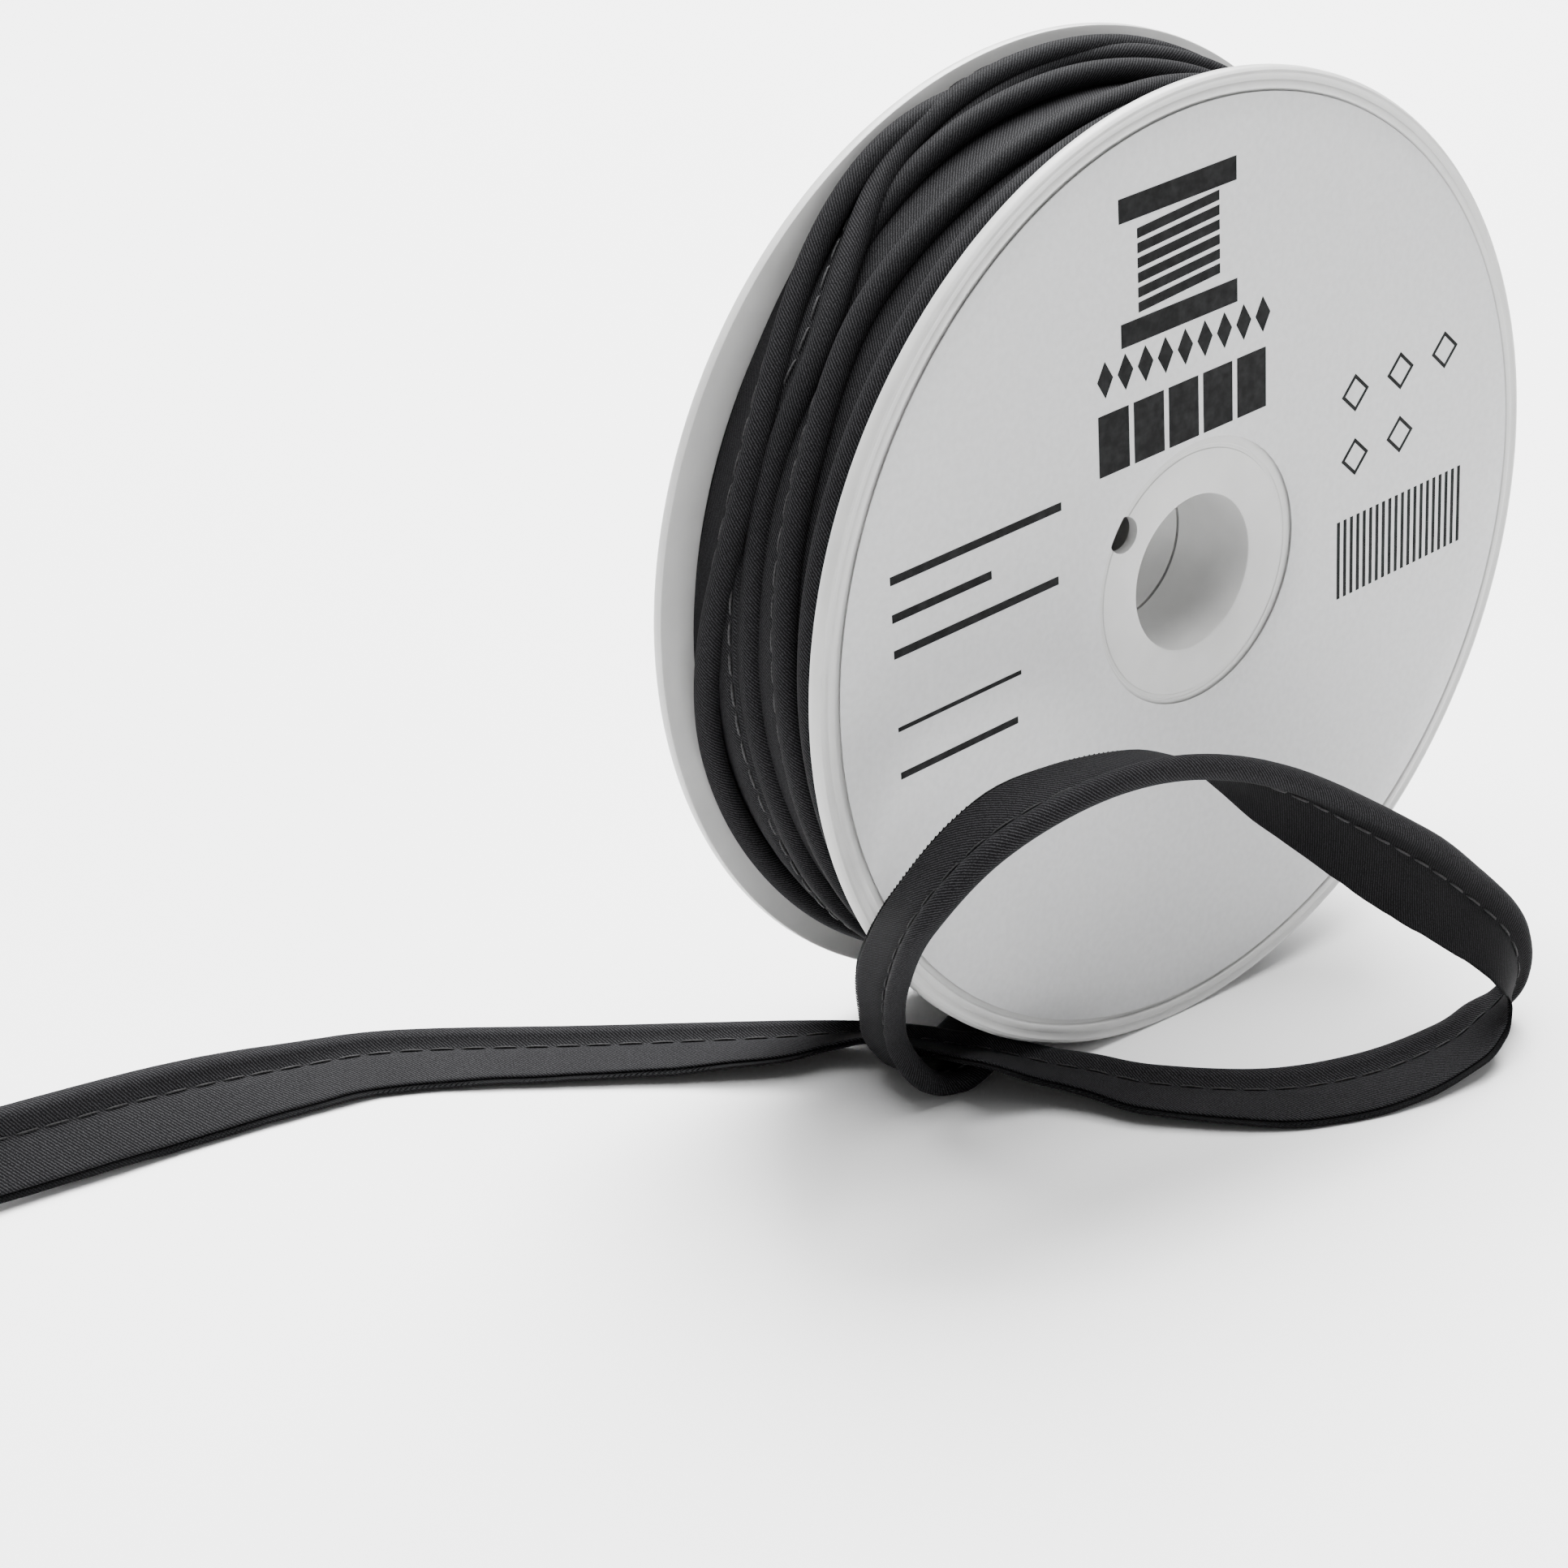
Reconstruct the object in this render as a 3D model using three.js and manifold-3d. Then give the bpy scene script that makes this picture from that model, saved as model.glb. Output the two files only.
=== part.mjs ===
// A flanged spool of corded piping trim, with its loose end standing in one loop on the table.
// Millimetres, +Z up. The spool's axis lies along Y, its labelled flange faces -Y, and the origin is on the
// table under the middle of the spool.
import * as THREE from "three";
import { mergeVertices } from "three/addons/utils/BufferGeometryUtils.js";
import Module from "manifold-3d";

const FLANGE_RADIUS = 75;
const FLAT_DEPTH = 0.25; // worn flat under both flanges, where the roll stands
const AXIS_HEIGHT = FLANGE_RADIUS - FLAT_DEPTH;
const SPOOL_WIDTH = 36;
const FLANGE_INNER = 15.8; // half the clear width between the flanges
const DISC_THICKNESS = 1.6;
const RIM_WIDTH = 3.2;
const BORE_RADIUS = 12;
const SLEEVE_RADIUS = 13.4;
const BARREL_RADIUS = 24;
const BARREL_WALL = 1.6;
const HALVES_GAP = 0.3;
const SLEEVE_GAP = 1.6;
const SPOOL_SIDES = 60;

const DRIVE_HOLE = { x: -15.4, z: 9.75, radius: 2.8, sides: 24 }; // from the axis

const LABEL = { inner: 20.75, outer: 71.2, shiftX: 0.4, shiftZ: 0.2, gap: 0.3, thickness: 0.2 };

const BEAD_RADIUS = 1.85; // filler cord in its cloth cover
const TAPE_REACH = 12.2; // from the bead's middle to the tape's raw edge
const TAPE_THICKNESS = 1;
const PLAY = 0.3; // between the winding and the spool

const WINDING_WIDTH = 31;
const WINDING_ROWS = 28;
const WINDING_SIDES = 84;
const WINDING_BASE = 66.8; // level of the turns below the ones that show
const TAPE_BELOW_BEAD = 1.4; // the tape's level below the bead's middle
const EXIT_CLEARANCE = { halfAngle: 12, radius: 68.7 }; // the roll's underside above the loose end

// The outer turns. back: degrees along the trim, counted back from where it leaves the roll at the bottom,
// y: the bead's middle across the roll, r: its distance from the axis.
const TURNS = [
  { back: 0, y: 0.6, r: 71 },
  { back: 40, y: 5, r: 71.2 },
  { back: 95, y: 11, r: 71.5 },
  { back: 174, y: 14, r: 70.5 },
  { back: 190, y: 14.4, r: 70.4 },
  { back: 203, y: 12.8, r: 70.5 },
  { back: 216, y: 8.5, r: 70.4 },
  { back: 226, y: 4.8, r: 70 },
  { back: 234, y: 2.8, r: 69.4 },
  { back: 246, y: 4.6, r: 68.6 },
  { back: 262, y: 3.8, r: 68.2 },
  { back: 276, y: 3.9, r: 68.2 },
  { back: 296, y: 3, r: 68.4 },
  { back: 330, y: 6, r: 69.5 },
  { back: 390, y: 12, r: 70 },
  { back: 450, y: 13.3, r: 70 },
  { back: 560, y: 13.3, r: 69.4 },
  { back: 578, y: 13.2, r: 69.8 },
  { back: 593, y: 7.6, r: 70 },
  { back: 607, y: 6.5, r: 70.2 },
  { back: 623, y: 8, r: 70.2 },
  { back: 637, y: 10, r: 70 },
  { back: 662, y: 13.3, r: 70 },
  { back: 760, y: 13.3, r: 70 },
  { back: 880, y: 13.2, r: 69.6 },
  { back: 902, y: 12.2, r: 69.6 },
  { back: 922, y: 10, r: 69.4 },
  { back: 950, y: 9, r: 67.6 },
  { back: 1100, y: 8, r: 67.8 },
  { back: 1250, y: 8.4, r: 69.4 },
  { back: 1290, y: 8.4, r: 69.2 },
  { back: 1330, y: 6, r: 67.4 },
  { back: 1450, y: 2, r: 67.8 },
  { back: 1610, y: -1.8, r: 69.2 },
  { back: 1628, y: -3.8, r: 69.4 },
  { back: 1644, y: -2, r: 69.4 },
  { back: 1668, y: 0, r: 69.4 },
  { back: 1685, y: -2.8, r: 69.2 },
  { back: 1712, y: -4.6, r: 69 },
  { back: 1800, y: -6, r: 69 },
  { back: 1990, y: -9, r: 68.8 },
  { back: 2160, y: -10.2, r: 68.8 },
];

// The loose end. x, y, z: the bead's middle, ex, ey, ez: the tape's raw edge beside it, from the roll outward.
const LOOSE_END = [
  { x: 0, y: 0.6, z: 3.6, ex: -0.8, ey: 12.7, ez: 4 },
  { x: -11, y: -2.2, z: 2.6, ex: -13.9, ey: 9.7, ez: 1.6 },
  { x: -23, y: -6.9, z: 2, ex: -26.4, ey: 4.8, ez: 0.9 },
  { x: -38, y: -12.6, z: 2, ex: -38.6, ey: -0.5, ez: 0.9 },
  { x: -43, y: -12.9, z: 2.2, ex: -43.2, ey: -0.8, ez: 1.1 },
  { x: -46.6, y: -12.9, z: 3.4, ex: -46, ey: -0.9, ez: 2.2 },
  { x: -50, y: -13.2, z: 6, ex: -48.4, ey: -1.3, ez: 4.6 },
  { x: -53.4, y: -13.2, z: 10.6, ex: -51.2, ey: -1.9, ez: 8 },
  { x: -57.5, y: -15.6, z: 17.2, ex: -54.6, ey: -4.4, ez: 13.8 },
  { x: -65, y: -24, z: 30.5, ex: -62.3, ey: -12.3, ez: 29.1 },
  { x: -70.4, y: -35, z: 46.5, ex: -66.1, ey: -23.6, ez: 46.2 },
  { x: -63, y: -41, z: 58, ex: -57.2, ey: -30.4, ez: 59.8 },
  { x: -47, y: -44.4, z: 63.2, ex: -39.5, ey: -34.8, ez: 62.9 },
  { x: -29.6, y: -46.4, z: 62, ex: -23.5, ey: -36.5, ez: 58.1 },
  { x: -10.6, y: -49, z: 54.8, ex: -10.4, ey: -40.5, ez: 46.1 },
  { x: 13.6, y: -52, z: 39.5, ex: 5.7, ey: -49.2, ez: 30.7 },
  { x: 26, y: -53.2, z: 29.3, ex: 16.2, ey: -54, ez: 22.1 },
  { x: 34.7, y: -54.4, z: 20.5, ex: 23.9, ey: -57.5, ez: 15.8 },
  { x: 38.7, y: -54.2, z: 13, ex: 27.8, ey: -59.2, ez: 11.4 },
  { x: 40, y: -52.8, z: 6.6, ex: 29.8, ey: -58.8, ez: 9.6 },
  { x: 37.5, y: -51.6, z: 3.3, ex: 29.9, ey: -59.8, ez: 8.3 },
  { x: 32.3, y: -50.9, z: 2.5, ex: 27.2, ey: -61.6, ez: 5.2 },
  { x: 23.3, y: -51.6, z: 2.1, ex: 19.1, ey: -63, ez: 2.8 },
  { x: 7.9, y: -49.7, z: 2, ex: 2.7, ey: -60.7, ez: 0.9 },
  { x: -6.7, y: -43.5, z: 2, ex: -14, ey: -53.2, ez: 1.2 },
  { x: -18.4, y: -31.8, z: 2, ex: -27.7, ey: -39.6, ez: 2.6 },
  { x: -23.3, y: -23.2, z: 2.1, ex: -32.1, ey: -31.4, ez: 3.7 },
  { x: -26.8, y: -18.4, z: 2.3, ex: -35.9, ey: -26.1, ez: 4.9 },
  { x: -32.3, y: -15.2, z: 4.5, ex: -40.2, ey: -23.7, ez: 6.9 },
  { x: -37.6, y: -13, z: 6.7, ex: -44.9, ey: -21.4, ez: 9.2 },
  { x: -39, y: -9.7, z: 6.2, ex: -46.4, ey: -17.2, ez: 8.9 },
  { x: -39.7, y: -5, z: 5.2, ex: -46.6, ey: -12.4, ez: 7.9 },
  { x: -40.9, y: 0.3, z: 4, ex: -46.9, ey: -6.4, ez: 6.6 },
  { x: -43, y: 5.6, z: 3, ex: -47.6, ey: -0.4, ez: 5.8 },
  { x: -46.9, y: 11, z: 2.3, ex: -52.6, ey: 4, ez: 4.5 },
  { x: -54.3, y: 17.8, z: 2, ex: -61.8, ey: 8.3, ez: 3.4 },
  { x: -75.8, y: 34.6, z: 2, ex: -82.7, ey: 24.6, ez: 1.6 },
  { x: -98.8, y: 51.5, z: 2.6, ex: -104.6, ey: 40.8, ez: 1 },
  { x: -115, y: 56.2, z: 4.4, ex: -119.2, ey: 45.2, ez: 1 },
  { x: -138, y: 58.2, z: 7.9, ex: -141.8, ey: 48.6, ez: 1.1 },
  { x: -178, y: 60.8, z: 10.8, ex: -182, ey: 53.2, ez: 2 },
];
const LOOSE_STEPS = 80;

const wasm = await Module();
wasm.setup();

function toSolid(geometry) {
  const plain = geometry.clone();
  plain.deleteAttribute("normal");
  plain.deleteAttribute("uv");
  const merged = mergeVertices(plain, 1e-4);
  const vertProperties = new Float32Array(merged.attributes.position.array);
  const triVerts = new Uint32Array(merged.index.array);
  return new wasm.Manifold(new wasm.Mesh({ numProp: 3, vertProperties, triVerts }));
}

function toGeometry(solid) {
  const mesh = solid.getMesh();
  const geometry = new THREE.BufferGeometry();
  geometry.setAttribute("position", new THREE.BufferAttribute(new Float32Array(mesh.vertProperties), 3));
  geometry.setIndex(new THREE.BufferAttribute(new Uint32Array(mesh.triVerts), 1));
  geometry.computeVertexNormals();
  return geometry;
}

// One half of the spool's section, as distances from the axis and from the mid-plane.
function halfSection() {
  const outer = SPOOL_WIDTH / 2;
  const face = FLANGE_INNER + DISC_THICKNESS;
  const rim = FLANGE_RADIUS - RIM_WIDTH;
  const bore = SLEEVE_GAP / 2;
  const joint = HALVES_GAP / 2;
  return [
    [BORE_RADIUS, bore],
    [BORE_RADIUS, face],
    [rim - 0.2, face],
    [rim, outer - 0.15],
    [rim + 0.4, outer],
    [rim + 1, outer],
    [rim + 1.3, outer - 0.35],
    [rim + 1.8, outer - 0.35],
    [rim + 2.2, outer],
    [FLANGE_RADIUS - 0.4, outer - 0.2],
    [FLANGE_RADIUS, outer - 0.9],
    [FLANGE_RADIUS, FLANGE_INNER + 0.3],
    [FLANGE_RADIUS - 0.3, FLANGE_INNER],
    [BARREL_RADIUS, FLANGE_INNER],
    [BARREL_RADIUS, joint],
    [BARREL_RADIUS - BARREL_WALL, joint],
    [BARREL_RADIUS - BARREL_WALL, FLANGE_INNER],
    [SLEEVE_RADIUS, FLANGE_INNER],
    [SLEEVE_RADIUS, bore],
    [BORE_RADIUS, bore],
  ];
}

// side is -1 for the labelled half and 1 for the other, and the profile runs so that its faces point out.
function halfSolid(side) {
  const points = halfSection().map(([r, across]) => new THREE.Vector2(r, side * across));
  if (side > 0) points.reverse();
  const lathe = new THREE.LatheGeometry(points, SPOOL_SIDES);
  lathe.rotateY(Math.PI / SPOOL_SIDES);
  lathe.translate(0, 0, AXIS_HEIGHT);
  const room = new THREE.BoxGeometry(4 * FLANGE_RADIUS, 2 * SPOOL_WIDTH, 4 * FLANGE_RADIUS);
  room.translate(0, 0, 2 * FLANGE_RADIUS);
  return toSolid(lathe).intersect(toSolid(room));
}

function driveHole() {
  const pin = new THREE.CylinderGeometry(DRIVE_HOLE.radius, DRIVE_HOLE.radius, 6, DRIVE_HOLE.sides);
  pin.translate(DRIVE_HOLE.x, -FLANGE_INNER - DISC_THICKNESS / 2, AXIS_HEIGHT + DRIVE_HOLE.z);
  return toSolid(pin);
}

function labelGeometry() {
  const back = -FLANGE_INNER - DISC_THICKNESS - LABEL.gap;
  const front = back - LABEL.thickness;
  const points = [
    new THREE.Vector2(LABEL.inner, back),
    new THREE.Vector2(LABEL.inner, front),
    new THREE.Vector2(LABEL.outer, front),
    new THREE.Vector2(LABEL.outer, back),
    new THREE.Vector2(LABEL.inner, back),
  ];
  const disc = new THREE.LatheGeometry(points, SPOOL_SIDES);
  disc.translate(LABEL.shiftX, 0, AXIS_HEIGHT + LABEL.shiftZ);
  return disc;
}

// The turn's bead a given number of degrees back from the exit.
function turnAt(back) {
  const next = Math.max(1, TURNS.findIndex((row) => row.back >= back));
  const a = TURNS[next - 1];
  const b = TURNS[next];
  const part = (back - a.back) / (b.back - a.back);
  return { y: THREE.MathUtils.lerp(a.y, b.y, part), r: THREE.MathUtils.lerp(a.r, b.r, part) };
}

// The winding's outer radius where the angle runs from +X toward +Z, in degrees.
function windingRadius(angle, y) {
  const start = ((angle + 90) % 360 + 360) % 360;
  let radius = WINDING_BASE;
  for (let back = start; back <= TURNS.at(-1).back; back += 360) {
    const turn = turnAt(back);
    const across = y - turn.y;
    if (Math.abs(across) < BEAD_RADIUS) {
      radius = Math.max(radius, turn.r + Math.sqrt(BEAD_RADIUS ** 2 - across ** 2));
    } else if (across > 0 && across < TAPE_REACH) {
      radius = Math.max(radius, turn.r - TAPE_BELOW_BEAD);
    }
  }
  const fromExit = Math.min(start, 360 - start);
  return fromExit < EXIT_CLEARANCE.halfAngle ? Math.min(radius, EXIT_CLEARANCE.radius) : radius;
}

function windingGeometry() {
  const inner = BARREL_RADIUS + PLAY;
  const half = WINDING_WIDTH / 2;
  const points = [new THREE.Vector2(inner, -half)];
  for (let row = 0; row <= WINDING_ROWS; row += 1) {
    points.push(new THREE.Vector2(WINDING_BASE, -half + (WINDING_WIDTH * row) / WINDING_ROWS));
  }
  points.push(new THREE.Vector2(inner, half), new THREE.Vector2(inner, -half));
  const geometry = new THREE.LatheGeometry(points, WINDING_SIDES);
  const place = geometry.attributes.position;
  for (let i = 0; i < place.count; i += 1) {
    const x = place.getX(i);
    const z = place.getZ(i);
    const old = Math.hypot(x, z);
    if (old < inner + 1) continue;
    const angle = Math.round(THREE.MathUtils.radToDeg(Math.atan2(z, x)) * 100) / 100;
    const scale = windingRadius(angle, place.getY(i)) / old;
    place.setX(i, x * scale);
    place.setZ(i, z * scale);
  }
  geometry.translate(0, 0, AXIS_HEIGHT);
  return geometry;
}

// The bead's line, whose section turns with the tape's edge beside it.
class TrimPath extends THREE.CatmullRomCurve3 {
  constructor(rows) {
    super(rows.map((row) => new THREE.Vector3(row.x, row.y, row.z)), false, "catmullrom", 0.5);
    const edge = rows.map((row) => new THREE.Vector3(row.ex, row.ey, row.ez));
    this.edge = new THREE.CatmullRomCurve3(edge, false, "catmullrom", 0.5);
  }

  getSpacedPoints(divisions) {
    return this.getPoints(divisions);
  }

  computeFrenetFrames(segments) {
    const tangents = [];
    const normals = [];
    const binormals = [];
    for (let i = 0; i <= segments; i += 1) {
      const tangent = this.getTangent(i / segments);
      const across = this.edge.getPoint(i / segments).sub(this.getPoint(i / segments));
      tangents.push(tangent);
      normals.push(new THREE.Vector3().crossVectors(across, tangent).normalize());
      binormals.push(across.divideScalar(TAPE_REACH));
    }
    return { tangents, normals, binormals };
  }
}

// Bead and tape in section: x through the tape, y toward its raw edge.
function trimSection() {
  const half = TAPE_THICKNESS / 2;
  const start = Math.asin(half / BEAD_RADIUS);
  const shape = new THREE.Shape();
  shape.moveTo(half, TAPE_REACH);
  shape.lineTo(-half, TAPE_REACH);
  shape.absarc(0, 0, BEAD_RADIUS, Math.PI / 2 + start, Math.PI * 2.5 - start, false);
  shape.closePath();
  return shape;
}

function looseEndGeometry() {
  return new THREE.ExtrudeGeometry(trimSection(), {
    steps: LOOSE_STEPS,
    curveSegments: 4,
    extrudePath: new TrimPath(LOOSE_END),
  });
}

function named(name, geometry, material) {
  const mesh = new THREE.Mesh(geometry, material);
  mesh.name = name;
  return mesh;
}

const plastic = new THREE.MeshStandardMaterial({ color: 0xf2f2f0, roughness: 0.35, metalness: 0 });
const paper = new THREE.MeshStandardMaterial({ color: 0xe2e3e4, roughness: 0.8, metalness: 0 });
const cloth = new THREE.MeshStandardMaterial({ color: 0x34353a, roughness: 0.6, metalness: 0 });

const roll = new THREE.Group();
roll.add(
  named("spool_front", toGeometry(halfSolid(-1).subtract(driveHole())), plastic),
  named("spool_back", toGeometry(halfSolid(1)), plastic),
  named("label", labelGeometry(), paper),
  named("winding", windingGeometry(), cloth),
  named("loose_end", looseEndGeometry(), cloth),
);

export default roll;
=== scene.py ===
import math
import random

import bpy
import numpy as np
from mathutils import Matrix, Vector


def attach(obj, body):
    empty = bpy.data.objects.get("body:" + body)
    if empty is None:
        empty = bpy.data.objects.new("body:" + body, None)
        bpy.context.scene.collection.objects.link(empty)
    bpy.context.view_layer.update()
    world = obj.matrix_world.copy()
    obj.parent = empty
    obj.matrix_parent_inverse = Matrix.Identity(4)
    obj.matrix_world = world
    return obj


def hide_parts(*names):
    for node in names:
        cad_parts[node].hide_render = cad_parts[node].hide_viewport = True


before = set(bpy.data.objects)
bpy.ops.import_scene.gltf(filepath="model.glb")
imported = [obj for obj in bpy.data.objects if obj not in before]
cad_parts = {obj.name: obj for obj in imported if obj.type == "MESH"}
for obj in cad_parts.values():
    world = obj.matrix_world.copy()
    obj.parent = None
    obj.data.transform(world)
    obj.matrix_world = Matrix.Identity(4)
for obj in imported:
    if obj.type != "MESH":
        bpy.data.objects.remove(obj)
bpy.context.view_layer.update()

# Sizes are in mm, with the spool's axis along Y and the table at height 0. Camera and lights are in metres.
MM = 0.001

# Spool and label
AXIS_HEIGHT = 74.75
FLANGE_RADIUS = 75.0
FLANGE_INNER = 15.8
DISC_THICKNESS = 1.6
RIM_WIDTH = 3.2
RIM_FACE = 18.0
BARREL_RADIUS = 24.0
BARREL_WALL = 1.6
BORE_RADIUS = 12.0
SLEEVE_RADIUS = 13.4
FRONT_SLEEVE_END = 3.1    # the two sleeves meet a little on the labelled side of the middle
BACK_SLEEVE_END = -2.6
DRIVE_HOLE = (-15.4, -16.6, AXIS_HEIGHT + 9.75)
DRIVE_HOLE_RADIUS = 2.8
LABEL_FRONT = -(FLANGE_INNER + DISC_THICKNESS + 0.5)
LABEL_INNER = 20.75
LABEL_OUTER = 71.2
LABEL_THICKNESS = 0.2
LABEL_CENTRE = (0.4, AXIS_HEIGHT + 0.2)
LABEL_TURN = 5.0          # degrees

# Trim
BEAD = 1.85
REACH = 12.2              # from the bead's middle to the raw edge
PLY_GAP = 1.1             # how far the upper ply stops short of the lower one
SEAM = 3.0                # the stitch line, from the bead's middle
LOOSE_HALF = 0.5          # half the tape's thickness where it is loose
WOUND_HALF = 0.3          # and where it is wound
ROOM = 15.5               # half the width that the turns lie in
CORE_RADIUS = 66.2        # the band of turns that don't show
CORE_EDGE = 66.0
STEP = 1.5                # degrees between the rings of the wound turns
LAYER = 0.34              # from the cloth below to the middle of a wound tape
SAG = 0.12                # how far a wound tape sinks at most in each softening

# One stitch: a place along it as a share of its length, and the thread's height and radius there.
STITCH = [(0, -0.12, 0.06), (0.12, 0.05, 0.15), (0.5, 0.1, 0.17), (0.88, 0.05, 0.15), (1.0, -0.12, 0.06)]

# The loose end's bead line and raw edge, mm, from the roll outward.
LOOSE_END = [
    (0, 0.6, 3.6, -0.8, 12.7, 4),
    (-11, -2.2, 2.6, -13.9, 9.7, 1.6),
    (-23, -6.9, 2, -26.4, 4.8, 0.9),
    (-38, -12.6, 2, -38.6, -0.5, 0.9),
    (-43, -12.9, 2.2, -43.2, -0.8, 1.1),
    (-46.6, -12.9, 3.4, -46, -0.9, 2.2),
    (-50, -13.2, 6, -48.4, -1.3, 4.6),
    (-53.4, -13.2, 10.6, -51.2, -1.9, 8),
    (-57.5, -15.6, 17.2, -54.6, -4.4, 13.8),
    (-65, -24, 30.5, -62.3, -12.3, 29.1),
    (-70.4, -35, 46.5, -66.1, -23.6, 46.2),
    (-63, -41, 58, -57.2, -30.4, 59.8),
    (-47, -44.4, 63.2, -39.5, -34.8, 62.9),
    (-29.6, -46.4, 62, -23.5, -36.5, 58.1),
    (-10.6, -49, 54.8, -10.4, -40.5, 46.1),
    (13.6, -52, 39.5, 5.7, -49.2, 30.7),
    (26, -53.2, 29.3, 16.2, -54, 22.1),
    (34.7, -54.4, 20.5, 23.9, -57.5, 15.8),
    (38.7, -54.2, 13, 27.8, -59.2, 11.4),
    (40, -52.8, 6.6, 29.8, -58.8, 9.6),
    (37.5, -51.6, 3.3, 29.9, -59.8, 8.3),
    (32.3, -50.9, 2.5, 27.2, -61.6, 5.2),
    (23.3, -51.6, 2.1, 19.1, -63, 2.8),
    (7.9, -49.7, 2, 2.7, -60.7, 0.9),
    (-6.7, -43.5, 2, -14, -53.2, 1.2),
    (-18.4, -31.8, 2, -27.7, -39.6, 2.6),
    (-23.3, -23.2, 2.1, -32.1, -31.4, 3.7),
    (-26.8, -18.4, 2.3, -35.9, -26.1, 4.9),
    (-32.3, -15.2, 4.5, -40.2, -23.7, 6.9),
    (-37.6, -13, 6.7, -44.9, -21.4, 9.2),
    (-39, -9.7, 6.2, -46.4, -17.2, 8.9),
    (-39.7, -5, 5.2, -46.6, -12.4, 7.9),
    (-40.9, 0.3, 4, -46.9, -6.4, 6.6),
    (-43, 5.6, 3, -47.6, -0.4, 5.8),
    (-46.9, 11, 2.3, -52.6, 4, 4.5),
    (-54.3, 17.8, 2, -61.8, 8.3, 3.4),
    (-75.8, 34.6, 2, -82.7, 24.6, 1.6),
    (-98.8, 51.5, 2.6, -104.6, 40.8, 1),
    (-115, 56.2, 4.4, -119.2, 45.2, 1),
    (-138, 58.2, 7.9, -141.8, 48.6, 1.1),
    (-178, 60.8, 10.8, -182, 53.2, 2),
]

# The outer turns: degrees back from the exit at the bottom, the bead's place across the roll, its radius.
TURNS = [
    (0, 0.6, 71), (40, 5, 71.2), (95, 11, 71.2), (140, 13.5, 70), (180, 13.6, 69), (192, 13.6, 70.4),
    (201, 13.6, 72.8), (210, 13.6, 73.4), (219, 13, 72.2), (228, 11.4, 71), (237.6, 8.6, 70.5),
    (248, 6.6, 70.5), (256, 6.6, 70.5), (263, 8.4, 70.5), (271.4, 10.5, 70.5), (277, 11.8, 70.5),
    (285, 13.2, 70.5), (297, 13.6, 70.3), (330, 13.6, 69.6), (400, 13.6, 69), (480, 13.4, 70),
    (520, 13, 71.6), (535, 12.9, 72.4), (558, 12.9, 72.4), (566, 12.4, 71.8), (573, 10.9, 71.3),
    (580, 7.8, 70.5), (587, 4.9, 70), (594, 2.8, 69.4), (606, 4.6, 68.6), (622, 3.8, 68.2),
    (636, 3.9, 68.2), (656, 3, 68.4), (690, 6, 69), (740, 9, 68), (820, 9, 69), (875, 9, 71),
    (883, 9.6, 71.3), (892, 11.6, 71.2), (901, 12.6, 70.8), (909, 12.1, 70.4), (922, 10.8, 69.4),
    (950, 9, 67.6), (1100, 8, 67.8), (1250, 7.4, 69.6), (1266, 7.4, 70.4), (1283, 9, 70.3),
    (1292, 9.2, 69.4), (1305, 8.8, 68), (1330, 6, 67.4), (1450, 2, 67.8), (1610, -1.8, 69.2),
    (1628, -3.8, 69.4), (1644, -2, 69.4), (1668, 0, 69.4), (1685, -2.8, 69.2), (1712, -4.6, 69),
    (1800, -6, 69), (1990, -9, 69), (2060, -9.8, 69.3), (2160, -10.4, 69), (2250, -12, 67),
    (2400, -13, 66), (2520, -13.4, 66.4), (2880, -13.6, 66),
]


# Camera

def make_camera():
    data = bpy.data.cameras.new("camera")
    data.lens = 83.43
    data.sensor_width = 36
    camera = bpy.data.objects.new("camera", data)
    camera.location = (-0.37573, -0.35517, 0.2744)
    camera.rotation_euler = (math.radians(64.96), 0, math.radians(-41.14))
    bpy.context.scene.collection.objects.link(camera)
    bpy.context.scene.camera = camera


# Mesh helpers

def add_mesh(name, points, faces, material, smooth=True, uv=None):
    """A mesh object from points in mm; uv gives each point's place in the cloth, in mm."""
    mesh = bpy.data.meshes.new(name)
    mesh.from_pydata((np.asarray(points, float) * MM).tolist(), [], faces)
    mesh.validate()
    if uv is not None:
        loops = np.zeros(len(mesh.loops), np.int32)
        mesh.loops.foreach_get("vertex_index", loops)
        layer = mesh.uv_layers.new(name="UVMap")
        layer.data.foreach_set("uv", (np.asarray(uv)[loops] * MM * 10).astype(np.float32).ravel())
    mesh.polygons.foreach_set("use_smooth", [smooth] * len(mesh.polygons))
    mesh.materials.append(material)
    mesh.update()
    obj = bpy.data.objects.new(name, mesh)
    bpy.context.scene.collection.objects.link(obj)
    return obj


def ring_faces(rings, sides, closed=False):
    """Quads between rings of points, with a cap on each end of an open run."""
    faces = []
    last = rings if closed else rings - 1
    for i in range(last):
        a = i * sides
        b = ((i + 1) % rings) * sides
        for j in range(sides):
            k = (j + 1) % sides
            faces.append((a + j, a + k, b + k, b + j))
    if not closed:
        faces.append(tuple(range(sides - 1, -1, -1)))
        faces.append(tuple((rings - 1) * sides + j for j in range(sides)))
    return faces


def turned_over(faces):
    return [tuple(reversed(face)) for face in faces]


def lathe(profile, sides, centre=(0.0, AXIS_HEIGHT)):
    """Points of a profile of radius and place along Y, turned about the axis, none below the table."""
    points = []
    for i in range(sides):
        a = 2 * math.pi * i / sides
        for r, y in profile:
            points.append((centre[0] + r * math.cos(a), y, max(centre[1] + r * math.sin(a), 0.0)))
    return points


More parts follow.
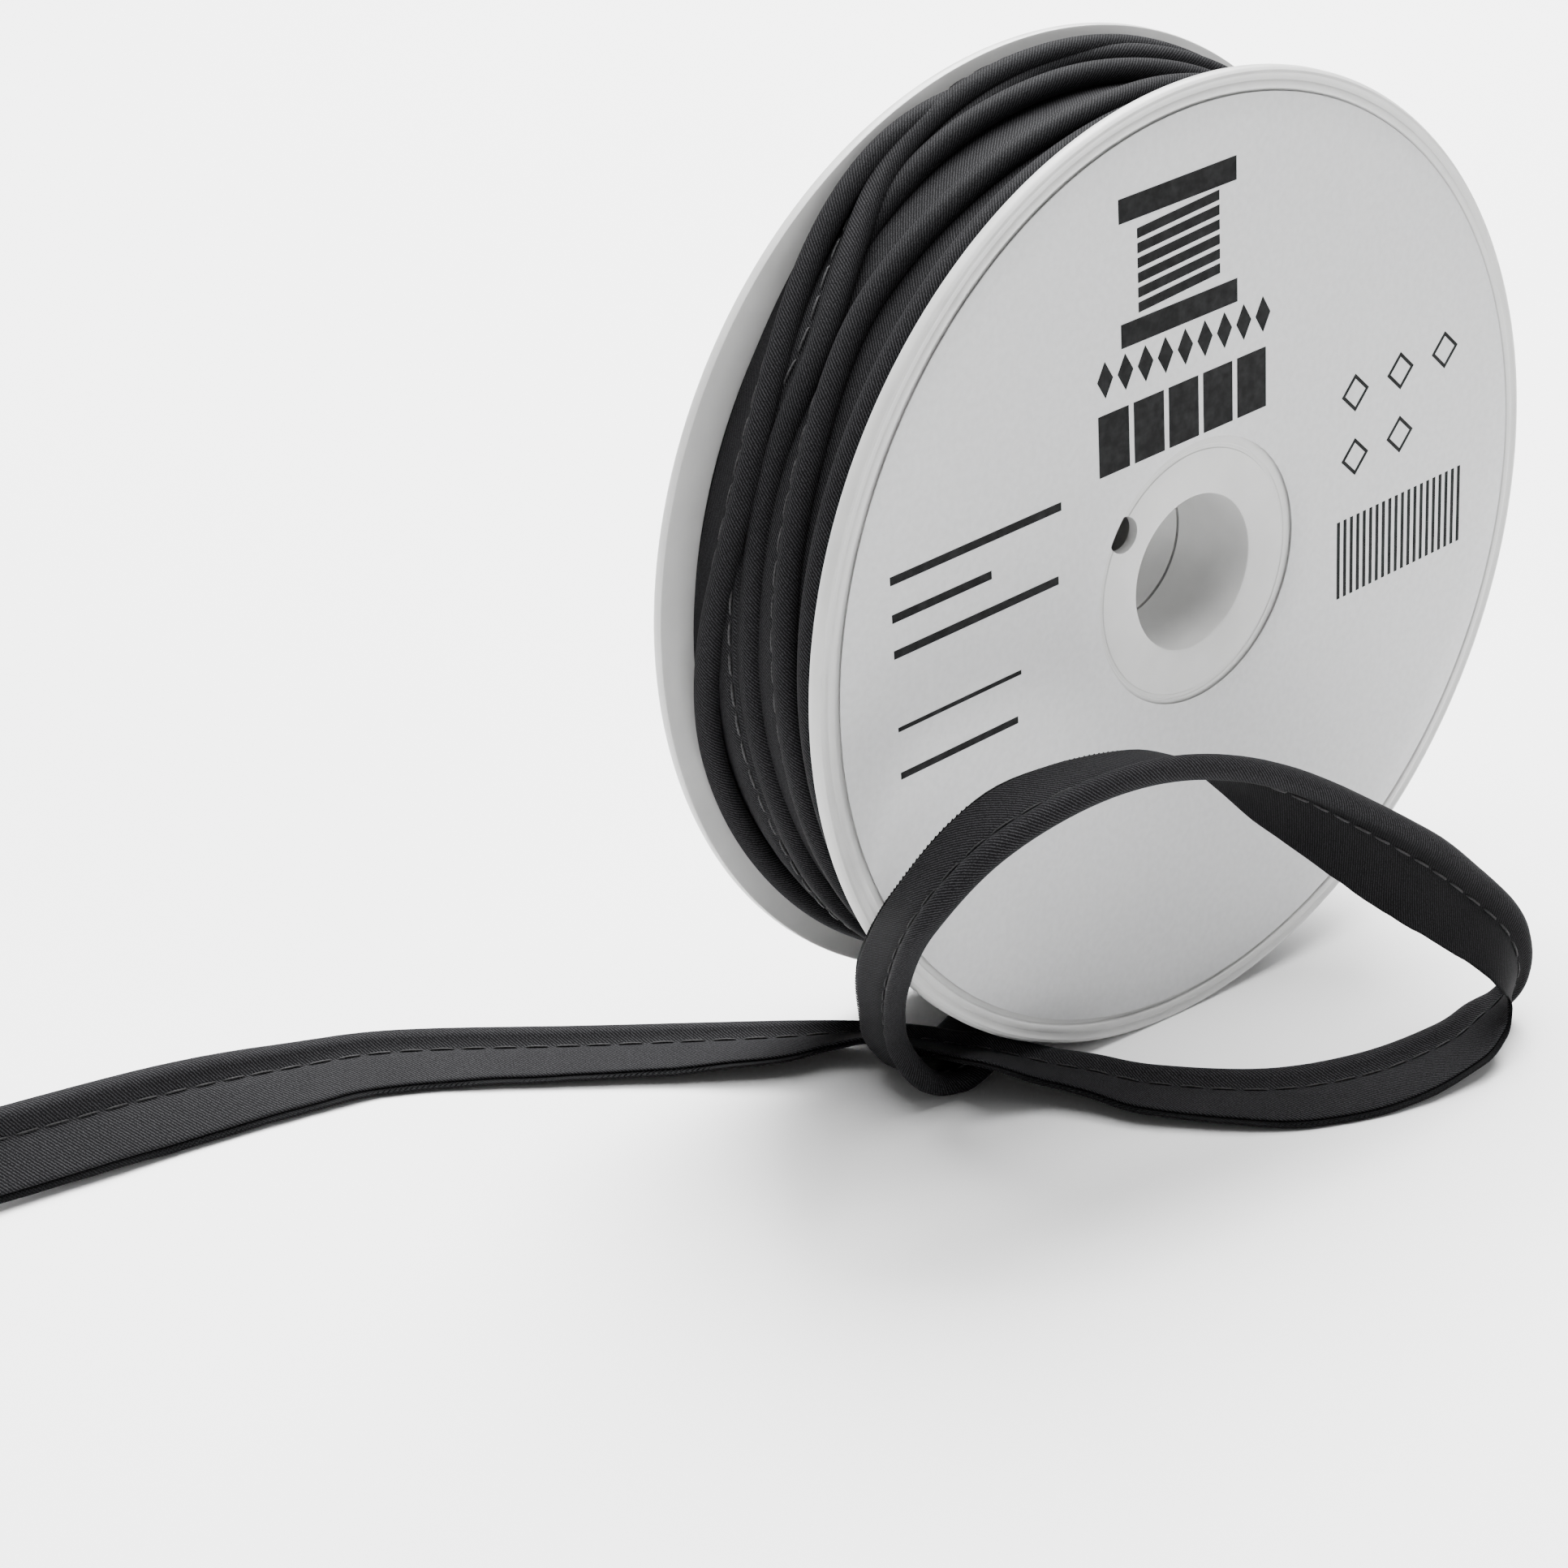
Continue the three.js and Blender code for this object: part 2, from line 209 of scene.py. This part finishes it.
def catmull(points, per):
    """Points on the uniform Catmull-Rom curve through the rows, per to each span."""
    p = np.asarray(points, float)
    p = np.vstack([2 * p[0] - p[1], p, 2 * p[-1] - p[-2]])
    t = np.linspace(0, 1, per, endpoint=False)[:, None]
    out = []
    for i in range(1, len(p) - 2):
        a, b, c, d = p[i - 1], p[i], p[i + 1], p[i + 2]
        out.append(0.5 * (2 * b + (c - a) * t + (2 * a - 5 * b + 4 * c - d) * t ** 2
                          + (3 * b - a - 3 * c + d) * t ** 3))
    out.append(p[-2][None])
    return np.vstack(out)


def unit(v):
    return v / np.linalg.norm(v, axis=-1, keepdims=True)


def run_length(points):
    """Distance along a line of points from its first one."""
    return np.concatenate([[0], np.cumsum(np.linalg.norm(np.diff(points, axis=0), axis=1))])


def wavy(s, seed, scale):
    """A smooth irregular wave along s, about -1 to 1."""
    rng = random.Random(seed)
    total = np.zeros_like(s)
    for k in range(3):
        turn = s * (2 * math.pi / scale) * (1.7 ** k) * rng.uniform(0.8, 1.2) + rng.uniform(0, 6.3)
        total += np.sin(turn) / (k + 1)
    return total / 1.6


def smooth(values, width):
    """Gaussian smoothing, with the ends held."""
    reach = int(width * 3)
    kernel = np.exp(-0.5 * (np.arange(-reach, reach + 1) / width) ** 2)
    kernel /= kernel.sum()
    padded = np.concatenate([np.full(reach, values[0]), values, np.full(reach, values[-1])])
    return np.convolve(padded, kernel, mode="valid")


# Trim

def trim_section(half):
    """The trim's outline: u from the bead to the raw edge, n up through the tape, from slit to slit."""
    short = REACH - PLY_GAP
    top = [(short - 1.2, 0.0), (short, 0.07), (short, half * 0.6), (short - 0.12, half * 0.9),
           (short - 0.6, half), (9.6, half * 1.04), (8, half * 1.06), (6, half * 1.05), (4.6, half * 0.95),
           (3.8, half * 0.78), (3.35, half * 0.58), (3.0, half * 0.46), (2.7, half * 0.62),
           (2.35, half * 0.7 + 0.22)]
    bead = []
    for k in range(17):
        a = math.radians(30 + 300 * k / 16)
        bead.append((BEAD * math.cos(a), BEAD * math.sin(a)))
    bottom = [(u, -n) for u, n in reversed(top[5:])]
    bottom += [(REACH - 0.6, -half), (REACH - 0.12, -half * 0.9), (REACH, -half * 0.6),
               (REACH, -half * 0.3), (REACH - 0.3, -0.06), (short, -0.06)]
    return np.array(top + bead + bottom)


def cloth_uv(section, along):
    """Each point's place in the cloth: round the section, and along the trim."""
    size = (len(along), len(section))
    around = np.broadcast_to(run_length(section)[None, :], size)
    return np.stack([around, np.broadcast_to(along[:, None], size)], -1).reshape(-1, 2)


def stitch_rings(start, size, sign, line, lift, lean, fine):
    """The points of one stitch: rings along a raised thread that dips in at both ends."""
    step, middle, across, face = line
    points = []
    for part, rise, thick in STITCH:
        at = start + size * part
        centre, aside, out = (np.array([np.interp(at, step, way[:, k]) for k in range(3)])
                              for way in (middle, across, face))
        out = out * sign
        thick = thick * (1 if sign > 0 else 1.2) * fine
        centre = centre + out * (rise + lift) * fine + aside * (lean * (at - start - size / 2) / size)
        for q in range(6):
            w = 2 * math.pi * q / 6
            points.append(centre + aside * math.cos(w) * thick * 1.15 + out * math.sin(w) * thick)
    return points


def stitches(name, bead, across, face, lift, material, pitch=4.8, both=True, place=SEAM, slant=0.0, fine=1.0):
    """Stitches along the trim, as short raised threads on one or both faces of the tape."""
    middle = bead + across * place
    step = run_length(middle)
    line = (step, middle, unit(across), face)
    points, faces = [], []
    rng = random.Random(11)
    at = 1.0
    while at < step[-1] - pitch:
        size = pitch * rng.uniform(0.76, 0.84)
        for sign in ((1, -1) if both else (1,)):
            start = at + (0 if sign > 0 else pitch * 0.5)
            if start + size > step[-1]:
                continue
            lean = rng.uniform(-0.08, 0.08) + slant
            strand = ring_faces(len(STITCH), 6)
            if sign < 0:
                strand = turned_over(strand)
            faces += [tuple(len(points) + v for v in face_ring) for face_ring in strand]
            points += stitch_rings(start, size, sign, line, lift, lean, fine)
        at += pitch
    return add_mesh(name, points, faces, material)


# Loose end

def loose_frames(per=9):
    """The bead's line, the way across the tape, the way out of its upper face, and the distance along."""
    rows = np.array(LOOSE_END, float)
    bead = catmull(rows[:, :3], per)
    edge = catmull(rows[:, 3:], per)
    across = (edge - bead) / REACH
    face = unit(np.cross(unit(np.gradient(bead, axis=0)), across))
    return bead, across, face, run_length(bead)


def loose_points(section, bead, across, face, along):
    """The section carried along the bead's line, with a soft ripple and an uneven raw edge."""
    u, n = section[:, 0], section[:, 1]
    free = np.clip((u - 4) / 9, 0, 1) ** 1.5
    ripple = 0.28 * wavy(along, 5, 38)[:, None] * free
    drift = 0.12 * wavy(along, 8, 9)[:, None] * np.clip((u - 11) / 2, 0, 1)
    points = (bead[:, None, :] + across[:, None, :] * (u[None, :] + drift)[:, :, None]
              + face[:, None, :] * (n[None, :] + ripple)[:, :, None])
    points[:, :, 2] = np.maximum(points[:, :, 2], 0.15)
    return points.reshape(-1, 3)


def make_loose_end(cloth, thread):
    bead, across, face, along = loose_frames()
    section = trim_section(LOOSE_HALF)
    obj = add_mesh("loose_trim", loose_points(section, bead, across, face, along),
                   ring_faces(len(bead), len(section)), cloth, uv=cloth_uv(section, along))
    seam = stitches("loose_stitches", bead, across, face, 0.33, thread)
    edging = stitches("loose_edging", bead, across, face, -0.1, cloth,
                      pitch=0.85, both=False, place=REACH - 0.5, slant=0.8, fine=0.6)
    for part in (seam, edging):
        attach(part, "root")
    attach(obj, "root")
    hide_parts("loose_end")


# Winding

class Surface:
    """The outermost cloth so far: a radius for each half degree and quarter millimetre across."""

    def __init__(self, radius):
        self.grid = np.full((720, 129), radius)

    def index(self, angle, y):
        return (np.round(np.degrees(angle) * 2).astype(int) % 720,
                np.clip(np.round((y + 16) * 4).astype(int), 0, 128))

    def at(self, angle, y):
        i, j = self.index(angle, y)
        return self.grid[i, j]

    def cover(self, angle, y, radius):
        i, j = self.index(angle, y)
        for di in (-2, -1, 0, 1, 2):
            for dj in (-1, 0, 1):
                np.maximum.at(self.grid, ((i + di) % 720, np.clip(j + dj, 0, 128)), radius)

    def cover_turn(self, angle, y, radius):
        """Cover the points of a turn, and places between neighbours on each ring."""
        self.cover(angle, y, radius)
        for part in (0.25, 0.5, 0.75):
            self.cover(*(v[:, :-1] * (1 - part) + v[:, 1:] * part for v in (angle, y, radius)))


def wound_turns():
    """Path of the outer turns, newest first: angle, place across and radius of the bead at each step."""
    rows = np.array(TURNS, float)
    back = np.arange(0, rows[-1, 0] + 0.5, STEP)
    y = smooth(np.interp(back, rows[:, 0], rows[:, 1]), 4 / STEP)
    r = smooth(np.interp(back, rows[:, 0], rows[:, 2]), 4 / STEP)
    return np.radians(back - 90), y, r


def wound_spread(section, angle, y, r):
    """Each point of each ring: its angle, place across, radius at rest and overhang past the flange."""
    u = section[:, 0]
    lean = np.arctan(np.gradient(y) / (np.radians(STEP) * r))
    wide = smooth(np.clip((ROOM - 0.1 - y) / np.cos(lean), SEAM + 0.1, REACH), 3 / STEP)
    ratio = (wide - SEAM) / (REACH - SEAM)
    spread = np.where(u[None, :] > SEAM, SEAM + (u[None, :] - SEAM) * ratio[:, None], u[None, :])
    around = angle[:, None] - spread * np.sin(lean)[:, None] / r[:, None]
    across = y[:, None] + spread * np.cos(lean)[:, None]
    over = np.clip(across - (ROOM + 0.15), 0, None)
    across = np.minimum(across, ROOM + 0.15) - over * 0.1
    rest = r[:, None] - 1.35 * np.clip((spread - 1.2) / 1.8, 0, 1) ** 1.5
    return around, across, rest, over


def softened(level):
    """The levels averaged along the trim and across it."""
    soft = level.copy()
    soft[2:-2] = (level[:-4] + level[1:-3] + level[2:-2] + level[3:-1] + level[4:]) / 5
    soft[:, 1:-1] = (soft[:, :-2] + soft[:, 1:-1] * 2 + soft[:, 2:]) / 4
    return soft


def lay_turns(section, around, across, rest):
    """The radius of the tape's middle at each point, each turn laid over the turns below it."""
    u, n = section[:, 0], section[:, 1]
    tape = (u > 2.3)[None, :]
    surface = Surface(CORE_RADIUS)
    level = np.zeros(around.shape)
    turn = round(360 / STEP)
    for start in reversed(range(0, len(around), turn)):
        stop = min(start + turn, len(around))
        low = max(start - 8, 0)
        high = min(stop + 8, len(around))
        base = rest[low:high]
        below = surface.at(around[low:high], across[low:high])
        want = np.where(tape, np.maximum(base, below + LAYER), base)
        for _ in range(3):
            want = np.where(tape, np.maximum(softened(want), want - SAG), base)
        level[start:stop] = want[start - low:stop - low]
        surface.cover_turn(around[start:stop], across[start:stop], level[start:stop] + n[None, :])
    return level


def round_axis(radius, angle, y):
    return np.stack([radius * np.cos(angle), y, AXIS_HEIGHT + radius * np.sin(angle)], -1)


def make_winding(cloth, thread):
    section = trim_section(WOUND_HALF)
    u, n = section[:, 0], section[:, 1]
    angle, y, r = wound_turns()
    around, across, rest, over = wound_spread(section, angle, y, r)
    level = lay_turns(section, around, across, rest)
    points = round_axis(level + n[None, :] - over * 0.8, around, across)
    points[:, :, 2] = np.maximum(points[:, :, 2], 0.3)
    along = np.concatenate([[0], np.cumsum(np.hypot(np.radians(STEP) * r[1:], np.diff(y)))])
    faces = turned_over(ring_faces(len(angle), len(section)))
    obj = add_mesh("wound_trim", points.reshape(-1, 3), faces, cloth, uv=cloth_uv(section, along))
    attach(obj, "root")
    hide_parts("winding")
    bead = round_axis(r, angle, y)
    k = int(np.argmin(np.abs(u - SEAM) + (n < 0) * 10))
    seam_line = round_axis(level[:, k], around[:, k], across[:, k])
    radial = np.stack([np.cos(angle), np.zeros_like(angle), np.sin(angle)], -1)
    seam = stitches("wound_stitches", bead, (seam_line - bead) / SEAM, radial, 0.32, thread, both=False)
    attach(seam, "root")


def make_core(cloth):
    """The turns below the ones that show, as one band."""
    sides, rows = 180, 40
    inner, half = BARREL_RADIUS + 0.3, 15.3
    profile = [(inner, -half), (CORE_EDGE, -half)]
    for k in range(1, rows):
        profile.append((CORE_RADIUS + 0.08 * math.sin(k * 1.7), -half + 2 * half * k / rows))
    profile += [(CORE_EDGE, half), (inner, half)]
    uv = [(y, 2 * math.pi * i / sides * CORE_EDGE) for i in range(sides) for _, y in profile]
    obj = add_mesh("wound_core", lathe(profile, sides), ring_faces(sides, len(profile), closed=True), cloth,
                   uv=uv)
    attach(obj, "root")


# Spool

def spool_profile(side):
    """Half of the spool's section with rounded edges: distance from the axis, place along it."""
    face = FLANGE_INNER + DISC_THICKNESS
    rim = FLANGE_RADIUS - RIM_WIDTH
    end = FRONT_SLEEVE_END if side < 0 else BACK_SLEEVE_END
    bore = [(BORE_RADIUS, end), (BORE_RADIUS, face - 0.5), (BORE_RADIUS + 0.15, face - 0.15),
            (BORE_RADIUS + 0.5, face)]
    hub_groove = [(19.0, face), (19.15, face - 0.12), (19.65, face - 0.12), (19.8, face)]
    rim_step = [(rim - 0.35, face), (rim - 0.1, face + 0.1), (rim, RIM_FACE - 0.3),
                (rim + 0.15, RIM_FACE - 0.08), (rim + 0.4, RIM_FACE), (rim + 0.95, RIM_FACE)]
    channel = [(rim + 1.15, RIM_FACE - 0.1), (rim + 1.3, RIM_FACE - 0.22), (rim + 1.8, RIM_FACE - 0.22),
               (rim + 2.0, RIM_FACE - 0.12)]
    edge = [(rim + 2.3, RIM_FACE - 0.02), (rim + 2.7, RIM_FACE - 0.12), (rim + 3.0, RIM_FACE - 0.45),
            (FLANGE_RADIUS, RIM_FACE - 0.9), (FLANGE_RADIUS, FLANGE_INNER + 0.35),
            (FLANGE_RADIUS - 0.12, FLANGE_INNER + 0.1), (FLANGE_RADIUS - 0.4, FLANGE_INNER)]
    barrel = [(BARREL_RADIUS, FLANGE_INNER), (BARREL_RADIUS, 0.15), (BARREL_RADIUS - BARREL_WALL, 0.15),
              (BARREL_RADIUS - BARREL_WALL, FLANGE_INNER)]
    sleeve = [(SLEEVE_RADIUS, FLANGE_INNER), (SLEEVE_RADIUS, end)]
    return [(r, side * y) for r, y in bore + hub_groove + rim_step + channel + edge + barrel + sleeve]


def make_spool_half(name, side, node, plastic):
    profile = spool_profile(side)
    sides = 240
    faces = ring_faces(sides, len(profile), closed=True)
    if side > 0:
        faces = turned_over(faces)
    obj = add_mesh(name, lathe(profile, sides), faces, plastic)
    if side < 0:
        cut_drive_hole(obj)
    sharpen(obj, 28)
    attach(obj, "root")
    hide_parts(node)


def cut_drive_hole(obj):
    bpy.ops.mesh.primitive_cylinder_add(vertices=48, radius=DRIVE_HOLE_RADIUS * MM, depth=6 * MM,
                                        location=[v * MM for v in DRIVE_HOLE], rotation=(math.pi / 2, 0, 0))
    cut = bpy.context.object
    modifier = obj.modifiers.new("hole", "BOOLEAN")
    modifier.operation = "DIFFERENCE"
    modifier.object = cut
    modifier.solver = "EXACT"
    select_only(obj)
    bpy.ops.object.modifier_apply(modifier=modifier.name)
    bpy.data.objects.remove(cut)


def select_only(obj):
    bpy.ops.object.select_all(action="DESELECT")
    obj.select_set(True)
    bpy.context.view_layer.objects.active = obj


def sharpen(obj, degrees):
    """Smooth shading, except across edges sharper than the angle."""
    select_only(obj)
    bpy.ops.object.shade_smooth_by_angle(angle=math.radians(degrees))
    obj.select_set(False)


# Label

def make_label(paper):
    sides = 200
    spans = 10
    profile = [(LABEL_INNER, 0), (LABEL_INNER, 0.85), (LABEL_INNER + 0.06, 1)]
    profile += [(LABEL_INNER + (LABEL_OUTER - LABEL_INNER) * k / spans, 1) for k in range(1, spans)]
    profile += [(LABEL_OUTER - 0.06, 1), (LABEL_OUTER, 0.85), (LABEL_OUTER, 0)]
    profile = [(r, LABEL_FRONT + LABEL_THICKNESS * (1 - height)) for r, height in profile]
    faces = ring_faces(sides, len(profile), closed=True)
    obj = add_mesh("paper_label", lathe(profile, sides, LABEL_CENTRE), faces, paper)
    sharpen(obj, 30)
    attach(obj, "root")
    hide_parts("label")


def plate_faces(outline, first):
    """The faces of a thin plate whose under and upper outlines start at the given point."""
    k = len(outline)
    area = sum(outline[i][0] * outline[(i + 1) % k][1] - outline[(i + 1) % k][0] * outline[i][1]
               for i in range(k))
    order = list(range(k)) if area > 0 else list(range(k - 1, -1, -1))
    faces = [tuple(first + k + i for i in order), tuple(first + i for i in reversed(order))]
    for i in range(k):
        a, b = order[i], order[(i + 1) % k]
        faces.append((first + a, first + b, first + k + b, first + k + a))
    return faces


def make_print(ink):
    """Flat printed marks: outlines in label mm from the axis, turned with the label, a hair above it."""
    points, faces = [], []
    c, s = math.cos(math.radians(LABEL_TURN)), math.sin(math.radians(LABEL_TURN))
    for outline in print_shapes():
        faces += plate_faces(outline, len(points))
        for y in (LABEL_FRONT - 0.005, LABEL_FRONT - 0.03):
            for x, z in outline:
                points.append((x * c - z * s, y, AXIS_HEIGHT + x * s + z * c))
    obj = add_mesh("label_print", points, faces, ink, smooth=False)
    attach(obj, "root")


def box_shape(x0, z0, x1, z1):
    return [(x0, z0), (x1, z0), (x1, z1), (x0, z1)]


def reel_shapes(x, z):
    """A simple picture of a reel of thread round the given middle."""
    shapes = [box_shape(x - 12, z + 7.4, x + 12, z + 11), box_shape(x - 12, z - 11, x + 12, z - 7.4)]
    for k in range(6):
        low = z - 6.6 + k * 2.2
        shapes.append([(x - 8.4, low), (x + 8.4, low + 1.0), (x + 8.4, low + 2.5), (x - 8.4, low + 1.5)])
    return shapes


def open_diamond(x, z, out=3.1, hole=2.3):
    """A diamond drawn as four bars."""
    return [[(x - out, z), (x, z - out), (x, z - hole), (x - hole, z)],
            [(x, z - out), (x + out, z), (x + hole, z), (x, z - hole)],
            [(x + out, z), (x, z + out), (x, z + hole), (x + hole, z)],
            [(x, z + out), (x - out, z), (x - hole, z), (x, z + hole)]]


def print_shapes():
    """Generic marks in the places of the label's print."""
    shapes = reel_shapes(-2.6, 51.0)
    for k in range(9):
        x = -18.0 + k * 4.1
        shapes.append([(x, 33.6), (x + 1.6, 36.4), (x, 39.2), (x - 1.6, 36.4)])
    for k in range(5):
        x = -19.6 + k * 7.2
        shapes.append(box_shape(x, 21.8, x + 6.2, 31.2))
    for z, length, height in ((19.6, 33, 1.3), (13.9, 19, 1.3), (8.4, 32, 1.3), (-2.9, 24, 0.7),
                              (-10.4, 23, 1.1)):
        shapes.append(box_shape(-60.4, z, -60.4 + length, z + height))
    for x, z in ((35.4, 17.5), (45.8, 17.8), (56.2, 18.0), (35.4, 7.0), (45.8, 7.3)):
        shapes += open_diamond(x, z)
    for k in range(20):
        x = 31.4 + k * 1.5
        shapes.append(box_shape(x, -15.8, x + 0.7, -2.8))
    return shapes


# Material helpers

def new_material(name):
    material = bpy.data.materials.new(name)
    material.use_nodes = True
    tree = material.node_tree
    return material, tree, tree.nodes["Principled BSDF"]


def object_place(tree):
    return tree.nodes.new("ShaderNodeTexCoord").outputs["Object"]


def noise(tree, place, scale, detail=2):
    node = tree.nodes.new("ShaderNodeTexNoise")
    node.inputs["Scale"].default_value = scale
    node.inputs["Detail"].default_value = detail
    tree.links.new(place, node.inputs["Vector"])
    return node.outputs["Fac"]


def ramp(tree, source, *stops):
    """A colour ramp through stops of a place and a colour."""
    node = tree.nodes.new("ShaderNodeValToRGB")
    elements = node.color_ramp.elements
    while len(elements) < len(stops):
        elements.new(0.5)
    for element, (place, colour) in zip(elements, stops):
        element.position = place
        element.color = (*colour, 1)
    tree.links.new(source, node.inputs["Fac"])
    return node.outputs["Color"]


def grey(value):
    return (value, value, value)


def multiply(tree, first, second, amount):
    node = tree.nodes.new("ShaderNodeMixRGB")
    node.blend_type = "MULTIPLY"
    node.inputs["Fac"].default_value = amount
    tree.links.new(first, node.inputs["Color1"])
    tree.links.new(second, node.inputs["Color2"])
    return node.outputs["Color"]


def add_bump(tree, shader, height, strength, distance):
    node = tree.nodes.new("ShaderNodeBump")
    node.inputs["Strength"].default_value = strength
    node.inputs["Distance"].default_value = distance
    tree.links.new(height, node.inputs["Height"])
    tree.links.new(node.outputs["Normal"], shader.inputs["Normal"])


# Cloth and thread

def twill_lines(tree, place):
    """Fine slanting lines, a little uneven."""
    turn = tree.nodes.new("ShaderNodeMapping")
    turn.inputs["Rotation"].default_value = (0, 0, math.radians(45))
    tree.links.new(place, turn.inputs["Vector"])
    wave = tree.nodes.new("ShaderNodeTexWave")
    wave.wave_type = "BANDS"
    wave.bands_direction = "X"
    wave.inputs["Scale"].default_value = 78
    wave.inputs["Distortion"].default_value = 1.6
    wave.inputs["Detail"].default_value = 1
    wave.inputs["Detail Scale"].default_value = 3
    tree.links.new(turn.outputs["Vector"], wave.inputs["Vector"])
    return wave.outputs["Fac"]


def weave_height(tree, place):
    """Twill lines at 0.6 and grain at 0.9, added."""
    weak = tree.nodes.new("ShaderNodeMath")
    weak.operation = "MULTIPLY"
    weak.inputs[1].default_value = 0.6
    tree.links.new(twill_lines(tree, place), weak.inputs[0])
    mix = tree.nodes.new("ShaderNodeMath")
    mix.operation = "MULTIPLY_ADD"
    mix.inputs[1].default_value = 0.9
    tree.links.new(noise(tree, place, 420), mix.inputs[0])
    tree.links.new(weak.outputs["Value"], mix.inputs[2])
    return mix.outputs["Value"]


def cloth_material():
    """Dark twill, uneven in tone, with painted shade on the trim's under side."""
    material, tree, shader = new_material("cloth")
    uv = tree.nodes.new("ShaderNodeUVMap")
    uv.uv_map = "UVMap"
    place = uv.outputs["UV"]
    height = weave_height(tree, place)
    # The weave's own pattern sets the tone, darker in its low parts; the narrow bright end at the peaks is
    # painted glint.
    weave_tone_and_glints = ramp(tree, height, (0.3, (0.003, 0.003, 0.0033)), (0.9, (0.0125, 0.0125, 0.0135)),
                       (1.0, (0.03, 0.03, 0.032)))
    patches = ramp(tree, noise(tree, place, 9, 3), (0.3, grey(0.72)), (0.7, grey(1)))
    # Painted shade: past the bead, round the section, the under side's colour is cut to 0.42.
    split = tree.nodes.new("ShaderNodeSeparateXYZ")
    tree.links.new(place, split.inputs["Vector"])
    underside_painted_shade = ramp(tree, split.outputs["X"], (0.18, grey(1)), (0.215, grey(0.42)))
    colour = multiply(tree, multiply(tree, weave_tone_and_glints, patches, 0.35), underside_painted_shade, 1)
    tree.links.new(colour, shader.inputs["Base Color"])
    add_bump(tree, shader, height, 0.35, 0.00012)
    shader.inputs["Roughness"].default_value = 0.7
    shader.inputs["Sheen Weight"].default_value = 0.004
    shader.inputs["Sheen Roughness"].default_value = 0.45
    shader.inputs["Specular IOR Level"].default_value = 0.03
    return material


def thread_material(name, low, high):
    material, tree, shader = new_material(name)
    colour = ramp(tree, noise(tree, object_place(tree), 3000), (0.3, (low, low, low * 1.03)),
                  (0.7, (high, high, high * 1.03)))
    tree.links.new(colour, shader.inputs["Base Color"])
    shader.inputs["Roughness"].default_value = 0.6
    shader.inputs["Specular IOR Level"].default_value = 0.1
    return material


# Plastic, paper and ink

def plastic_material():
    material, tree, shader = new_material("plastic")
    mottle = noise(tree, object_place(tree), 160, 4)
    tree.links.new(ramp(tree, mottle, (0.3, (0.45, 0.45, 0.444)), (0.7, (0.50, 0.50, 0.493))),
                   shader.inputs["Base Color"])
    tree.links.new(ramp(tree, mottle, (0.3, grey(0.34)), (0.7, grey(0.46))), shader.inputs["Roughness"])
    add_bump(tree, shader, mottle, 0.08, 0.0002)
    shader.inputs["Subsurface Weight"].default_value = 0.08
    shader.inputs["Subsurface Radius"].default_value = (0.002, 0.002, 0.002)
    return material


def paper_material():
    material, tree, shader = new_material("paper")
    fibre = noise(tree, object_place(tree), 900, 5)
    tree.links.new(ramp(tree, fibre, (0.35, (0.47, 0.473, 0.477)), (0.65, (0.51, 0.513, 0.517))),
                   shader.inputs["Base Color"])
    add_bump(tree, shader, fibre, 0.1, 0.0001)
    shader.inputs["Roughness"].default_value = 0.62
    return material


def ink_material():
    material, tree, shader = new_material("ink")
    blotch = noise(tree, object_place(tree), 700)
    tree.links.new(ramp(tree, blotch, (0.35, (0.004, 0.0042, 0.0044)), (0.75, (0.012, 0.0124, 0.0128))),
                   shader.inputs["Base Color"])
    shader.inputs["Roughness"].default_value = 0.6
    shader.inputs["Specular IOR Level"].default_value = 0.05
    return material


# Studio

def floor_material():
    material, tree, shader = new_material("floor")
    cloud = noise(tree, object_place(tree), 4)
    tree.links.new(ramp(tree, cloud, (0.3, grey(0.86)), (0.7, grey(0.88))), shader.inputs["Base Color"])
    shader.inputs["Roughness"].default_value = 0.7
    return material


def make_studio():
    """A pale floor, three soft area lights and a weak white surround."""
    material = floor_material()
    bpy.ops.mesh.primitive_plane_add(size=8, location=(0, 0, 0))
    floor = bpy.context.object
    floor.name = "floor"
    floor.data.materials.append(material)
    area_light("light_key", (0.7, 0.7, 1.6), (0, 0, 0), 1.3, 150)
    area_light("light_front", (0.7, -1.4, 1.1), (0, 0, 0.05), 1.0, 6)
    area_light("light_top", (0.0, 0.2, 2.0), (0, 0, 0), 2.0, 120)
    world = bpy.data.worlds.new("world")
    world.use_nodes = True
    background = world.node_tree.nodes["Background"]
    background.inputs["Color"].default_value = (1, 1, 1, 1)
    background.inputs["Strength"].default_value = 0.28
    bpy.context.scene.world = world


def area_light(name, place, target, size, power):
    """A square light of the given size in metres and power in watts, aimed at the target."""
    data = bpy.data.lights.new(name, "AREA")
    data.shape = "SQUARE"
    data.size = size
    data.energy = power
    light = bpy.data.objects.new(name, data)
    light.location = place
    light.rotation_euler = (Vector(target) - Vector(place)).to_track_quat("-Z", "Y").to_euler()
    bpy.context.scene.collection.objects.link(light)


make_camera()
cloth = cloth_material()
plastic = plastic_material()
make_loose_end(cloth, thread_material("thread", 0.009, 0.027))
# The wound turns' stitches take a lighter copy of the same thread: painted highlight.
make_winding(cloth, thread_material("wound_thread_painted_highlight", 0.016, 0.055))
make_core(cloth)
make_spool_half("spool_half_front", -1, "spool_front", plastic)
make_spool_half("spool_half_back", 1, "spool_back", plastic)
make_label(paper_material())
make_print(ink_material())
make_studio()
